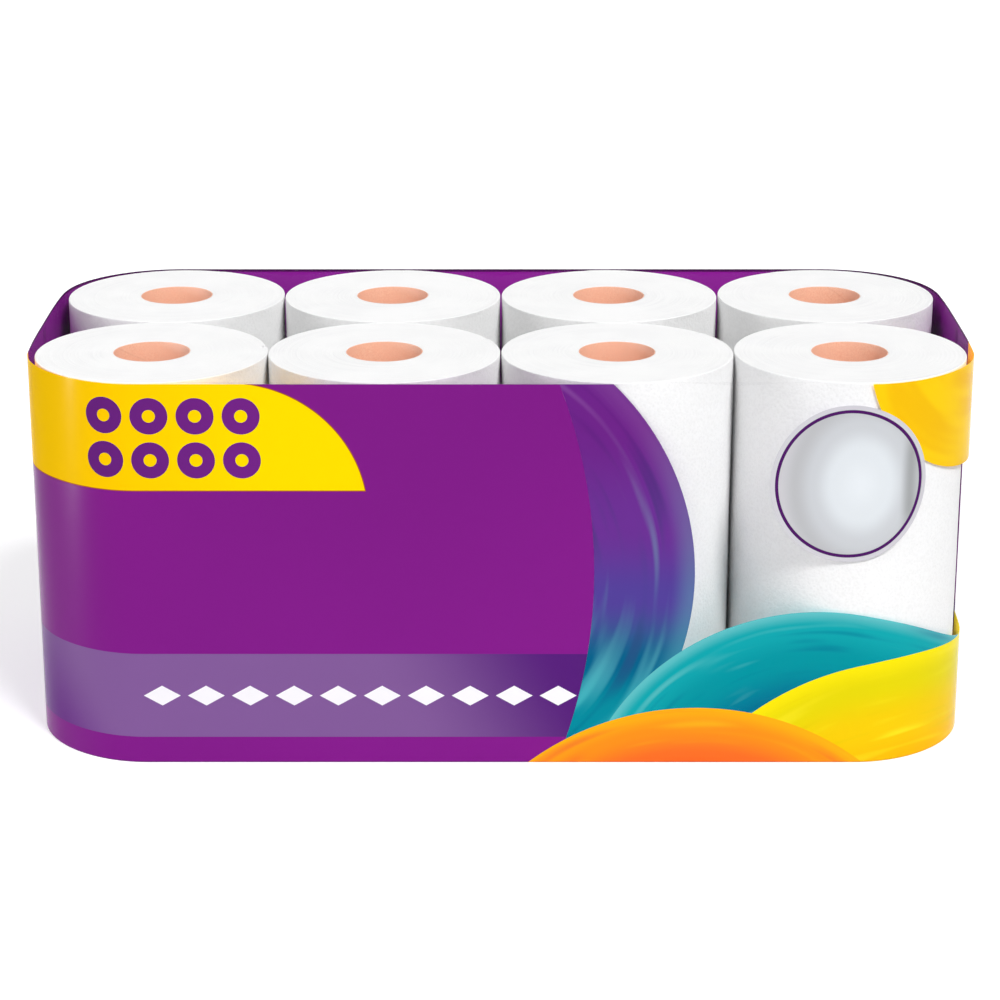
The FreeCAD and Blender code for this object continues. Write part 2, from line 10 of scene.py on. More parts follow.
import bmesh
import bpy
import numpy as np
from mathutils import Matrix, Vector


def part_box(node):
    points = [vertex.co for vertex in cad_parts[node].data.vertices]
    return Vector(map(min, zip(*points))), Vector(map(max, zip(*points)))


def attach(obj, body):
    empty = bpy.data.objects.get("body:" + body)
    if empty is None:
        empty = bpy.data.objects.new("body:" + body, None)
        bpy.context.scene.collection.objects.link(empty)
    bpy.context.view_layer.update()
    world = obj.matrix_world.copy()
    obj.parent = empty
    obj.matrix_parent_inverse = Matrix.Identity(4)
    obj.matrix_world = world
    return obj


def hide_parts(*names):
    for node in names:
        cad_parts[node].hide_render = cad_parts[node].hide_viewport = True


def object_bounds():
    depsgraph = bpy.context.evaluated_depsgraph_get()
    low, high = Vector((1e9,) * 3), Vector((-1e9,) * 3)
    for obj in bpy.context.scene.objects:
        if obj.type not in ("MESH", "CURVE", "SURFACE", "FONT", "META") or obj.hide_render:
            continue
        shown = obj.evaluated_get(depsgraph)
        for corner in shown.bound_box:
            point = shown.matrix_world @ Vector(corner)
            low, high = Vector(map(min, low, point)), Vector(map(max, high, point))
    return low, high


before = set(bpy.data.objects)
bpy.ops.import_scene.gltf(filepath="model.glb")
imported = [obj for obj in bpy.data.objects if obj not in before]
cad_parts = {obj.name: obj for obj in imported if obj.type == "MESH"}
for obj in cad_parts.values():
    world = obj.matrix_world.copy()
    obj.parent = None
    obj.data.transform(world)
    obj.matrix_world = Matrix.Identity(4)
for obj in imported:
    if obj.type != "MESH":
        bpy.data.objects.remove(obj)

CAD_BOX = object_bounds()

# ---------------------------------------------------------------- sizes, in metres

MM = 0.001
ROLL_RADIUS = 82.15 * MM
ROLL_BORE = 27.15 * MM
ROLL_EDGE = 0.9 * MM
SHEET_CALIPER = 0.9 * MM
TURN_PITCH = 3.2 * MM
TURN_DEPTH = 0.16 * MM
CORE_RADIUS = 27.1 * MM
CORE_WALL = 0.6 * MM
FILM_THICKNESS = 0.35 * MM
INK_THICKNESS = 0.25 * MM
FOLD_RADIUS = 1.95 * MM
DIP_DEPTH = 3 * MM
SEAL_WIDTH = 12 * MM
SEAL_MARGIN = 6 * MM
END_BOW = 1.85 * MM
BOW_REACH = 100 * MM
CORNER_HUG = 3 * MM
SAG_SLOPE = 0.08

# how fine the meshes are
ROLL_COLUMNS = 192
ROLL_LEVELS = 46
END_SPACING = 0.8 * MM
CORE_COLUMNS = 96
FILM_SPACING = 6 * MM
FILM_LEVELS = 48
FOLD_STEP_DEGREES = 18

# middles of the printed arcs on the front face, across and up, in millimetres
FLAG_ARC = (-185.3, 186.4)
FLAG_ARC_RADIUS = 94
CRESCENT_ARC = (-60.25, 140.2)
TEAL_ARC = (222, -56)
LIME_ARC = (294, -112)
ORANGE_ARC = (138, -148)
AMBER_ARC = (346, 300)

# how far each roll's loose end and each core's seam are turned
FIRST_TAIL_DEGREES = 10
TAIL_STEP_DEGREES = 15
SEAM_STEP_DEGREES = 40

# light and camera
WORLD_LIGHT = 0.48
FLOOR_GLOW = 0.48
CAMERA_LENS = 102.32
CAMERA_PLACE = (-0.0005, -2.0268, 0.8053)
CAMERA_DOWN_DEGREES = 18.117

_, PRINT_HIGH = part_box("print_field")
FACE_X, FACE_Y = PRINT_HIGH.x, PRINT_HIGH.y
PACK_TOP = CAD_BOX[1].z
ROLL_LOW, ROLL_HIGH = (corner.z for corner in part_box("core_tube_1_1"))
CORNER_RADIUS = FACE_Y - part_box("core_tube_2_1")[0].y - CORE_RADIUS
CORNER_X, CORNER_Y = FACE_X - CORNER_RADIUS, FACE_Y - CORNER_RADIUS

ROLLS = [(row, column) for row in (1, 2) for column in (1, 2, 3, 4)]
ROLL_CENTRES = {}
for ROLL in ROLLS:
    CORE_LOW, CORE_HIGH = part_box("core_tube_{}_{}".format(*ROLL))
    ROLL_CENTRES[ROLL] = (CORE_LOW + CORE_HIGH) / 2


# ---------------------------------------------------------------- shader helpers


def rgb(red, green, blue):
    """A colour given as it shows on a screen, from 0 to 255, in the linear numbers that shaders take."""
    linear = []
    for value in (red, green, blue):
        share = value / 255
        linear.append(share / 12.92 if share <= 0.04045 else ((share + 0.055) / 1.055) ** 2.4)
    return (*linear, 1.0)


class Shader:
    """A material under construction, with short calls for the nodes that this scene needs."""

    def __init__(self, name, **surface):
        self.material = bpy.data.materials.new(name)
        self.material.use_nodes = True
        self.tree = self.material.node_tree
        self.surface = self.tree.nodes["Principled BSDF"]
        for socket, value in surface.items():
            self.surface.inputs[socket.replace("_", " ")].default_value = value

    def add(self, kind, inputs=(), **settings):
        node = self.tree.nodes.new(kind)
        for key, value in settings.items():
            setattr(node, key, value)
        for socket, value in dict(inputs).items():
            self.feed(node.inputs[socket], value)
        return node

    def feed(self, socket, value):
        if isinstance(value, bpy.types.NodeSocket):
            self.tree.links.new(value, socket)
        else:
            socket.default_value = value

    def calc(self, operation, *values, clamp=False):
        inputs = dict(enumerate(values))
        return self.add("ShaderNodeMath", inputs, operation=operation, use_clamp=clamp).outputs[0]

    def object_xyz(self):
        """The place on the object, in metres from the middle of the pack's underside."""
        place = self.add("ShaderNodeTexCoord").outputs["Object"]
        return place, self.add("ShaderNodeSeparateXYZ", {0: place}).outputs

    def combine(self, x, y=0.0, z=0.0):
        return self.add("ShaderNodeCombineXYZ", {0: x, 1: y, 2: z}).outputs[0]

    def noise(self, vector, scale, detail=2.0, roughness=0.5):
        inputs = {"Vector": vector, "Scale": scale, "Detail": detail, "Roughness": roughness}
        return self.add("ShaderNodeTexNoise", inputs).outputs["Fac"]

    def span(self, value, low, high, smooth=True):
        """0 at low and 1 at high, held beyond them."""
        inputs = {"Value": value, "From Min": low, "From Max": high}
        kind = "SMOOTHSTEP" if smooth else "LINEAR"
        return self.add("ShaderNodeMapRange", inputs, interpolation_type=kind).outputs[0]

    def ramp(self, factor, *stops):
        """Colours along a factor: each stop is (position, colour)."""
        node = self.add("ShaderNodeValToRGB", {0: factor})
        elements = node.color_ramp.elements
        node.color_ramp.interpolation = "EASE"
        while len(elements) < len(stops):
            elements.new(0.5)
        for element, (position, colour) in zip(elements, stops):
            element.position = position
            element.color = colour
        return node.outputs[0]

    def mix(self, factor, first, second, blend="MIX"):
        node = self.add("ShaderNodeMix", data_type="RGBA", blend_type=blend)
        self.feed(node.inputs["Factor"], factor)
        self.feed(node.inputs[6], first)
        self.feed(node.inputs[7], second)
        return node.outputs[2]

    def bump(self, height, distance, strength=1.0, before=None):
        inputs = {"Height": height, "Distance": distance, "Strength": strength}
        if before is not None:
            inputs["Normal"] = before
        return self.add("ShaderNodeBump", inputs).outputs[0]

    def set(self, **sockets):
        for socket, value in sockets.items():
            self.feed(self.surface.inputs[socket.replace("_", " ")], value)
        return self.material


# ---------------------------------------------------------------- paper and board


def paper_side():
    """Cloth-like towel: a fine pebble over a softer quilted unevenness, all white."""
    shader = Shader("paper", Roughness=0.94, Specular_IOR_Level=0.15)
    place, _ = shader.object_xyz()
    pebble = shader.add("ShaderNodeTexVoronoi", {"Vector": place, "Scale": 520.0}, feature="SMOOTH_F1")
    fibres = shader.noise(place, 900.0, 3.0, 0.65)
    quilt = shader.noise(place, 110.0, 2.0)
    height = shader.calc("ADD", pebble.outputs["Distance"], shader.calc("MULTIPLY", fibres, 0.8))
    normal = shader.bump(quilt, 0.5 * MM, 0.6)
    normal = shader.bump(height, 0.35 * MM, 0.6, normal)
    tone = shader.mix(shader.span(height, 0.35, 1.1), rgb(244, 244, 244), rgb(250, 250, 250))
    return shader.set(Base_Color=tone, Normal=normal)


def paper_end():
    """Sawn end of a roll: edges of the wound sheet, finer than the turns in the mesh."""
    shader = Shader("paper_end", Roughness=0.95, Specular_IOR_Level=0.12)
    spiral = shader.add("ShaderNodeUVMap", uv_map="place").outputs[0]
    axes = shader.add("ShaderNodeSeparateXYZ", {0: spiral}).outputs
    along_line = shader.combine(shader.calc("MULTIPLY", axes[1], 1500.0), axes[0])
    lines = shader.noise(along_line, 1.0, 3.0, 0.7)
    place, _ = shader.object_xyz()
    fluff = shader.noise(place, 700.0, 3.0, 0.6)
    cloud = shader.noise(place, 30.0, 2.0)
    height = shader.calc("ADD", lines, shader.calc("MULTIPLY", fluff, 0.7))
    tone = shader.mix(shader.span(lines, 0.3, 0.62), rgb(240, 240, 241), rgb(250, 250, 250))
    tone = shader.mix(shader.span(cloud, 0.35, 0.7), tone, rgb(250, 250, 250))
    return shader.set(Base_Color=tone, Normal=shader.bump(height, 0.3 * MM, 0.5))


def paperboard():
    """Wound core board: warm tan, with the seam of its helix and faint fibres."""
    shader = Shader("paperboard", Roughness=0.82, Specular_IOR_Level=0.25)
    wound = shader.add("ShaderNodeUVMap", uv_map="place").outputs[0]
    axes = shader.add("ShaderNodeSeparateXYZ", {0: wound}).outputs
    ply_pitch = 95 * MM
    turn = shader.calc("SUBTRACT", shader.calc("DIVIDE", axes[1], ply_pitch), axes[0])
    seam = shader.calc("ABSOLUTE", shader.calc("SUBTRACT", shader.calc("FRACT", turn), 0.5))
    seam = shader.span(seam, 0.012, 0.0)
    place, _ = shader.object_xyz()
    fibres = shader.noise(place, 900.0, 4.0, 0.7)
    cloud = shader.noise(place, 45.0, 2.0)
    tone = shader.mix(shader.span(fibres, 0.3, 0.7), rgb(244, 184, 154), rgb(255, 206, 178))
    tone = shader.mix(shader.span(cloud, 0.3, 0.75), tone, rgb(250, 194, 166))
    tone = shader.mix(shader.calc("MULTIPLY", seam, 0.12), tone, rgb(196, 134, 106))
    return shader.set(Base_Color=tone, Normal=shader.bump(fibres, 0.15 * MM, 0.5))


# ---------------------------------------------------------------- film and inks


def clear_film():
    """Thin clear film: light passes straight through it, less a faint gloss and haze."""
    shader = Shader("clear_film")
    tree = shader.tree
    tree.nodes.remove(shader.surface)
    place, _ = shader.object_xyz()
    waves = shader.noise(place, 28.0, 2.0)
    normal = shader.bump(waves, 1.5 * MM, 0.25)
    clear = shader.add("ShaderNodeBsdfTransparent", {"Color": (1.0, 1.0, 1.0, 1.0)}).outputs[0]
    gloss_inputs = {"Color": (1.0, 1.0, 1.0, 1.0), "Roughness": 0.12, "Normal": normal}
    gloss = shader.add("ShaderNodeBsdfGlossy", gloss_inputs)
    dull = shader.add("ShaderNodeBsdfDiffuse", {"Color": rgb(225, 227, 232)})
    facing = shader.add("ShaderNodeLayerWeight", {"Blend": 0.12}).outputs["Fresnel"]
    amount = shader.calc("MULTIPLY", facing, 0.08, clamp=True)
    body = shader.add("ShaderNodeMixShader", {0: 0.003, 1: clear, 2: dull.outputs[0]}).outputs[0]
    whole = shader.add("ShaderNodeMixShader", {0: amount, 1: body, 2: gloss.outputs[0]}).outputs[0]
    tree.links.new(whole, tree.nodes["Material Output"].inputs[0])
    return shader.material


class Ink(Shader):
    """A printed colour under glossy film, with the film's own faint waves in its gloss."""

    def __init__(self, name, ior=1.12):
        super().__init__(name, Roughness=0.19, IOR=ior)
        self.place, (self.x, self.y, self.z) = self.object_xyz()
        waves = self.noise(self.place, 16.0, 2.0)
        grain = self.noise(self.place, 420.0, 1.0)
        normal = self.bump(waves, 1.2 * MM, 0.35)
        self.set(Normal=self.bump(grain, 0.02 * MM, 0.4, normal))

    def across(self, low, high):
        """0 to 1 along the pack, between two places in millimetres from its middle."""
        return self.span(self.x, low * MM, high * MM)

    def polar(self, centre_x, centre_z):
        """Distance and direction from a point of the front face, given in millimetres."""
        dx = self.calc("SUBTRACT", self.x, centre_x * MM)
        dz = self.calc("SUBTRACT", self.z, centre_z * MM)
        squares = self.calc("ADD", self.calc("MULTIPLY", dx, dx), self.calc("MULTIPLY", dz, dz))
        return self.calc("SQRT", squares), self.calc("ARCTAN2", dz, dx)

    def folds(self, distance, direction, width, drift, seed):
        """Soft bands that run round an arc, like light on the folds of satin."""
        across = self.calc("DIVIDE", distance, width * MM)
        vector = self.combine(across, self.calc("MULTIPLY", direction, drift), seed)
        return self.noise(vector, 1.0, 1.2, 0.45)

    def plain(self, colour):
        """The colour, with painted light on the faces seen from inside the pack: brighter there than the
        ink itself.
        """
        inside = self.add("ShaderNodeAttribute", attribute_name="inside").outputs["Fac"]
        # painted light: faces that look into the pack get a lighter copy of the colour
        painted_light_colour = self.mix(1.0, colour, (0.35, 0.35, 0.35, 1.0), "ADD")
        painted_light_colour = self.mix(1.0, colour, painted_light_colour, "MULTIPLY")
        painted_light_colour = self.mix(1.0, painted_light_colour, colour, "ADD")
        return self.set(Base_Color=self.mix(inside, colour, painted_light_colour))


def ink_purple():
    """The field, with painted shade: darker in a line along the back's top edge, where the film folds
    over.
    """
    ink = Ink("ink_purple")
    cloud = ink.span(ink.noise(ink.place, 3.0, 1.0), 0.3, 0.7)
    tone = ink.mix(cloud, rgb(126, 26, 133), rgb(133, 27, 139))
    # painted shade: a dark line on the top fold of the back and ends, not at the front
    fold_shade_band = ink.span(ink.z, 277.4 * MM, 278.2 * MM)
    behind = ink.span(ink.y, -80 * MM, -60 * MM)
    fold = ink.calc("MULTIPLY", fold_shade_band, behind)
    return ink.plain(ink.mix(fold, tone, rgb(86, 18, 90)))


def ink_yellow():
    """The flag, with a dark line along its outline where the next ink overlaps it."""
    ink = Ink("ink_yellow", ior=1.03)
    tone = ink.ramp(ink.across(-330, -100), (0.0, rgb(255, 202, 4)), (1.0, rgb(255, 222, 2)))
    distance, _ = ink.polar(*FLAG_ARC)
    left_of_arc = ink.calc("LESS_THAN", ink.x, FLAG_ARC[0] * MM)
    from_arc = ink.calc("ADD", ink.calc("SUBTRACT", FLAG_ARC_RADIUS * MM, distance), left_of_arc)
    from_base = ink.calc("SUBTRACT", ink.z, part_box("print_flag")[0].z)
    line = ink.span(ink.calc("MINIMUM", from_arc, from_base), 0.9 * MM, 0.5 * MM)
    return ink.plain(ink.mix(line, tone, rgb(176, 84, 30)))


def ink_mark():
    ink = Ink("ink_mark", ior=1.03)
    return ink.plain(ink.mix(ink.across(-290, -160), rgb(102, 36, 122), rgb(114, 38, 132)))


def ink_ring():
    return Ink("ink_ring").plain(rgb(78, 28, 98))


def belt_tone(ink):
    """Mauve that turns to violet rightwards, and round the left-hand end, both on a slant."""
    slant = ink.calc("MULTIPLY", ink.calc("SUBTRACT", ink.z, 51 * MM), 0.5)
    along = ink.calc("ADD", ink.x, slant)
    tone = ink.mix(ink.span(along, -340 * MM, -282 * MM), rgb(100, 34, 130), rgb(129, 90, 151))
    return ink.mix(ink.span(along, -80 * MM, 58 * MM), tone, rgb(86, 30, 121))


def ink_belt():
    ink = Ink("ink_belt")
    return ink.plain(belt_tone(ink))


def ink_seal():
    """Purple, with the belt carried across where it passes."""
    ink = Ink("ink_seal", ior=1.03)
    low, high = (corner.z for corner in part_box("print_belt"))
    inside = ink.calc("MULTIPLY", ink.calc("GREATER_THAN", ink.z, low), ink.calc("LESS_THAN", ink.z, high))
    return ink.plain(ink.mix(inside, rgb(128, 27, 135), belt_tone(ink)))


def ink_crescent():
    """Violet satin that turns to blue and teal towards its foot."""
    ink = Ink("ink_crescent")
    distance, direction = ink.polar(*CRESCENT_ARC)
    down = ink.span(ink.z, 250 * MM, 40 * MM, smooth=False)
    base = ink.ramp(
        down,
        (0.0, rgb(108, 34, 134)),
        (0.35, rgb(106, 48, 146)),
        (0.6, rgb(82, 64, 152)),
        (0.82, rgb(0, 96, 136)),
        (1.0, rgb(0, 138, 156)),
    )
    folds = ink.folds(distance, direction, 11, 1.1, 3.0)
    light = ink.mix(down, rgb(134, 74, 154), rgb(58, 178, 186))
    dark = ink.mix(down, rgb(88, 26, 122), rgb(0, 84, 128))
    tone = ink.mix(ink.span(folds, 0.54, 0.78), base, light)
    tone = ink.mix(ink.span(folds, 0.46, 0.24), tone, dark)
    edge = ink.span(distance, 178 * MM, 194 * MM)
    return ink.plain(ink.mix(ink.calc("MULTIPLY", edge, 0.45), tone, light))


def ink_hill(name, centre, reach, stops, light, dark, seed):
    """A hill of satin: colours from its rim inwards, with folds along its outline."""
    ink = Ink(name)
    distance, direction = ink.polar(*centre)
    inwards = ink.span(distance, reach[0] * MM, reach[1] * MM, smooth=False)
    base = ink.ramp(inwards, *stops)
    folds = ink.folds(distance, direction, 9, 1.6, seed)
    tone = ink.mix(ink.calc("MULTIPLY", ink.span(folds, 0.55, 0.8), 0.8), base, light)
    tone = ink.mix(ink.calc("MULTIPLY", ink.span(folds, 0.45, 0.22), 0.7), tone, dark)
    return ink.plain(tone)


def ink_teal():
    stops = [
        (0.0, rgb(96, 192, 196)),
        (0.14, rgb(16, 166, 174)),
        (0.5, rgb(0, 148, 160)),
        (1.0, rgb(0, 108, 142)),
    ]
    light, dark = rgb(92, 190, 192), rgb(0, 112, 144)
    return ink_hill("ink_teal", TEAL_ARC, (170, 100), stops, light, dark, 7.0)


def ink_lime():
    stops = [
        (0.0, rgb(250, 232, 10)),
        (0.2, rgb(232, 216, 8)),
        (0.55, rgb(246, 206, 8)),
        (1.0, rgb(255, 184, 10)),
    ]
    light, dark = rgb(252, 236, 40), rgb(224, 196, 6)
    return ink_hill("ink_lime", LIME_ARC, (190, 105), stops, light, dark, 11.0)


def ink_orange():
    stops = [
        (0.0, rgb(255, 178, 20)),
        (0.35, rgb(253, 146, 28)),
        (0.8, rgb(248, 112, 40)),
        (1.0, rgb(244, 104, 36)),
    ]
    light, dark = rgb(255, 184, 30), rgb(240, 104, 44)
    return ink_hill("ink_orange", ORANGE_ARC, (190, 146), stops, light, dark, 17.0)


def ink_amber():
    ink = Ink("ink_amber")
    distance, direction = ink.polar(*AMBER_ARC)
    folds = ink.folds(distance, direction, 14, 1.0, 23.0)
    tone = ink.mix(ink.span(folds, 0.35, 0.65), rgb(248, 192, 10), rgb(255, 208, 12))
    return ink.plain(tone)


def ink_silver():
    """The blank badge: silver white, shaded like a clear dome, inside a paler rim."""
    ink = Ink("ink_silver")
    low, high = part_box("print_badge_ring")
    middle = (low + high) / 2
    across = ink.calc("DIVIDE", ink.calc("SUBTRACT", ink.x, middle.x), (high.x - low.x) / 2)
    upward = ink.calc("DIVIDE", ink.calc("SUBTRACT", ink.z, middle.z), (high.z - low.z) / 2)
    height = ink.calc("MULTIPLY", upward, upward)
    squares = ink.calc("ADD", ink.calc("MULTIPLY", across, across), height)
    lean = ink.calc("DIVIDE", ink.calc("SUBTRACT", across, 0.14), 0.8)
    dome = ink.calc("SQRT", ink.calc("ADD", ink.calc("MULTIPLY", lean, lean), height))
    tone = ink.ramp(
        ink.calc("MULTIPLY", dome, 0.75),
        (0.0, rgb(233, 238, 242)),
        (0.35, rgb(226, 231, 235)),
        (0.6, rgb(205, 208, 212)),
        (0.82, rgb(190, 191, 194)),
        (1.0, rgb(204, 203, 207)),
    )
    band = ink.span(ink.calc("ABSOLUTE", ink.calc("SUBTRACT", across, 0.82)), 0.16, 0.0)
    band = ink.calc("MULTIPLY", band, ink.span(height, 0.5, 0.1))
    tone = ink.mix(ink.calc("MULTIPLY", band, 0.9), tone, rgb(160, 162, 163))
    rim = ink.span(squares, 0.98, 0.99)
    return ink.plain(ink.mix(rim, tone, rgb(210, 208, 214)))


def ink_white():
    ink = Ink("ink_white")
    return ink.plain(ink.mix(ink.across(-250, 50), rgb(246, 244, 248), rgb(250, 249, 251)))


# ---------------------------------------------------------------- meshes


def smooth_object(name, mesh, *materials):
    piece = bpy.data.objects.new(name, mesh)
    bpy.context.scene.collection.objects.link(piece)
    for material in materials:
        mesh.materials.append(material)
    return piece


def ring_mesh(name, grid, uv=None, slots=None):
    """A closed ring of quads from a grid of points, rows round the section and columns round the axis."""
    rows, columns = grid.shape[:2]
    below = np.arange(rows)[:, None]
    across = np.arange(columns)[None, :]
    above, onward = (below + 1) % rows, (across + 1) % columns
    quads = np.stack(
        [
            below * columns + across,
            below * columns + onward,
            above * columns + onward,
            above * columns + across,
        ],
        axis=-1,
    ).reshape(-1, 4)
    mesh = bpy.data.meshes.new(name)
    mesh.from_pydata(grid.reshape(-1, 3).tolist(), [], quads.tolist())
    if uv is not None:
        layer = mesh.uv_layers.new(name="place")
        wrapped = np.repeat(np.arange(rows * columns), 4) % columns == columns - 1
        values = uv.reshape(-1, 2)[quads.reshape(-1)]
        ahead = np.tile([False, True, True, False], rows * columns)
        values[wrapped & ahead, 0] += 1.0
        layer.data.foreach_set("uv", values.reshape(-1).astype(np.float32))
    if slots is not None:
        mesh.polygons.foreach_set("material_index", np.repeat(slots, columns).astype(np.int32))
    mesh.polygons.foreach_set("use_smooth", np.ones(len(quads), dtype=bool))
    mesh.update()
    return mesh


def tidy(mesh):
    """Merges points that coincide and drops what that leaves without area."""
    work = bmesh.new()
    work.from_mesh(mesh)
    bmesh.ops.remove_doubles(work, verts=work.verts, dist=1e-6)
    bmesh.ops.dissolve_degenerate(work, edges=work.edges, dist=1e-6)
    bmesh.ops.recalc_face_normals(work, faces=work.faces)
    work.to_mesh(mesh)
    work.free()


def arc_points(centre, radius, start, end, count):
    """Points of an arc in the section plane, angles in degrees."""
    turns = [math.radians(start + (end - start) * i / count) for i in range(count + 1)]
    return [(centre[0] + radius * math.cos(t), centre[1] + radius * math.sin(t)) for t in turns]


def roll_section():
    """A wound roll's section from the bore round the outside and back, and which of it is a sawn end."""
    e = ROLL_EDGE
    radii = np.arange(ROLL_BORE, ROLL_RADIUS - e, END_SPACING)
    heights = np.linspace(ROLL_LOW + e, ROLL_HIGH - e, ROLL_LEVELS)[1:-1]
    end_low = [(r, ROLL_LOW) for r in radii[::2]]
    edge_low = arc_points((ROLL_RADIUS - e, ROLL_LOW + e), e, -90, 0, 5)
    side = [(ROLL_RADIUS, z) for z in heights]
    edge_high = arc_points((ROLL_RADIUS - e, ROLL_HIGH - e), e, 0, 90, 5)
    end_high = [(r, ROLL_HIGH) for r in radii[::-1]]
    section = np.array(end_low + edge_low + side + edge_high + end_high)
    ends = np.zeros(len(section), dtype=int)
    ends[: len(end_low) + 2] = 1
    ends[-len(end_high) - 3 :] = 1
    return section, ends


def towel_roll(row, column, tail_degrees):
    """One roll: wound turns in its ends, the loose end's step down its side, and a slight unevenness."""
    centre = ROLL_CENTRES[row, column]
    section, ends = roll_section()
    angle = np.append(np.linspace(0, 2 * math.pi, ROLL_COLUMNS, endpoint=False), 2 * math.pi - 1e-6)
    radius = np.repeat(section[:, :1], len(angle), axis=1)
    height = np.repeat(section[:, 1:], len(angle), axis=1)
    turn = np.repeat(angle[None, :], len(section), axis=0)

    share = np.clip((radius - ROLL_RADIUS + 5 * MM) / (5 * MM), 0, 1)
    loose = np.where(turn < math.pi, (1 + np.cos(turn)) / 2, 0.0)
    phase = row * 1.7 + column * 2.3
    swell = 0.07 * MM * (np.sin(3 * turn + phase) + np.sin(5 * turn - 2 * phase + 40 * height) - 2)
    ripple = np.where(share >= 1, 0.05 * MM * (np.sin(7 * turn + 90 * height + phase) - 1), 0)
    spiral = (radius - ROLL_BORE) / TURN_PITCH - turn / (2 * math.pi)
    groove = TURN_DEPTH * (0.5 - 0.5 * np.cos(2 * math.pi * spiral)) ** 2
    bow = 0.10 * MM * (1 + np.sin(2 * turn + phase + radius * 60))
    upper = (height > ROLL_HIGH - 1e-9) & (radius < ROLL_RADIUS - ROLL_EDGE)
    fade = np.clip((radius - ROLL_BORE) / (3 * MM), 0, 1)
    height = np.where(upper, height - (groove + bow) * fade, height)
    radius = radius + share * (swell + ripple - SHEET_CALIPER * loose)

    heading = turn + math.radians(tail_degrees)
    grid = np.stack(
        [centre.x + radius * np.cos(heading), centre.y + radius * np.sin(heading), height], axis=-1
    )
    uv = np.stack([turn / (2 * math.pi), radius], axis=-1)
    mesh = ring_mesh(f"towel_{row}_{column}", grid, uv, ends)
    tidy(mesh)
    piece = smooth_object(f"towel_{row}_{column}", mesh, PAPER_SIDE, PAPER_END)
    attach(piece, "root")
    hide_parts(f"towel_roll_{row}_{column}")


def core_tube(row, column, turn_degrees):
    """One core tube with softened cut edges."""
    centre = ROLL_CENTRES[row, column]
    inner, outer, soft = CORE_RADIUS - CORE_WALL, CORE_RADIUS, 0.2 * MM
    low, high = ROLL_LOW, ROLL_HIGH
    section = (
        arc_points((outer - soft, low + soft), soft, -90, 0, 2)
        + [(outer, low + (high - low) * i / 4) for i in (1, 2, 3)]
        + arc_points((outer - soft, high - soft), soft, 0, 90, 2)
        + arc_points((inner + soft, high - soft), soft, 90, 180, 2)
        + [(inner, low + (high - low) * i / 12) for i in range(11, 0, -1)]
        + arc_points((inner + soft, low + soft), soft, 180, 270, 2)
    )
    section = np.array(section)
    angle = np.linspace(0, 2 * math.pi, CORE_COLUMNS, endpoint=False)
    heading = angle + math.radians(turn_degrees)
    radius = section[:, :1]
    grid = np.stack(
        [
            centre.x + radius * np.cos(heading),
            centre.y + radius * np.sin(heading),
            np.repeat(section[:, 1:], len(angle), axis=1),
        ],
        axis=-1,
    )
    uv = np.stack(
        [
            np.repeat(angle[None, :] / (2 * math.pi), len(section), axis=0),
            np.repeat(section[:, 1:], len(angle), axis=1),
        ],
        axis=-1,
    )
    mesh = ring_mesh(f"core_{row}_{column}", grid, uv)
    piece = smooth_object(f"core_{row}_{column}", mesh, PAPERBOARD)
    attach(piece, "root")
    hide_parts(f"core_tube_{row}_{column}")


# ---------------------------------------------------------------- printed fields


def end_bow(y):
    """How far the film stands out across the middle of an end, where no roll holds it flat."""
    share = min(abs(y) / BOW_REACH, 1)
    return END_BOW * (1 - share**4) ** 2


def bow_slope(y):
    """How fast the bow grows along Y."""
    share = max(min(y / BOW_REACH, 1), -1)
    return -8 * END_BOW / BOW_REACH * share**3 * (1 - share**4)


def hug_share(y, z):
    """How closely the film follows a corner roll: only at the front, and most of all at the top."""
    return 0.5 + 0.5 * z / PACK_TOP if y < 0 else 0.0


def hugged(x, y, z):
    """The place in plan once the film lies closer to the roll, halfway round a front corner."""
    dx, dy = abs(x) - CORNER_X, abs(y) - CORNER_Y
    if dx <= 0 or dy <= 0:
        return x, y
    pull = CORNER_HUG * hug_share(y, z) * math.hypot(dx, dy) / CORNER_RADIUS**2
    pull *= math.sin(2 * math.atan2(dx, dy)) ** 2
    return math.copysign(CORNER_X + dx * (1 - pull), x), math.copysign(CORNER_Y + dy * (1 - pull), y)


def outward(point):
    """The wall's outward direction at a point of the print, round its corners, folds and bowed ends."""
    dx = max(abs(point.x) - end_bow(point.y) - CORNER_X, 0)
    dy = max(abs(point.y) - CORNER_Y, 0)
    if dx <= 1e-7:
        flat = Vector((0, math.copysign(1, point.y), 0))
    else:
        turn = math.atan2(dx, dy)
        turn += 2 * CORNER_HUG * hug_share(point.y, point.z) / CORNER_RADIUS * math.sin(4 * turn)
        flat = Vector((math.copysign(math.sin(turn), point.x), math.copysign(math.cos(turn), point.y), 0))
        flat.y -= bow_slope(point.y) * abs(flat.x)
    flat.normalize()
    top, bottom = PACK_TOP + INK_THICKNESS, -INK_THICKNESS
    tilt = max(point.z - (top - FOLD_RADIUS), 0) - max(bottom + FOLD_RADIUS - point.z, 0)
    up = min(max(tilt / FOLD_RADIUS, -1), 1)
    return flat * math.sqrt(1 - up * up) + Vector((0, 0, up))


def in_corner(point, sign_x, sign_y):
    return point.x * sign_x > CORNER_X + 1e-6 and point.y * sign_y > CORNER_Y + 1e-6


def on_end(point, sign):
    return point.x * sign > CORNER_X and abs(point.y) < CORNER_Y


def cut_faces(work, faces, point, normal):
    """Cuts some faces of a mesh along a plane."""
    edges = {e for f in faces for e in f.edges}
    verts = {v for f in faces for v in f.verts}
    if faces:
        geometry = [*faces, *edges, *verts]
        bmesh.ops.bisect_plane(work, geom=geometry, dist=1e-7, plane_co=point, plane_no=normal)


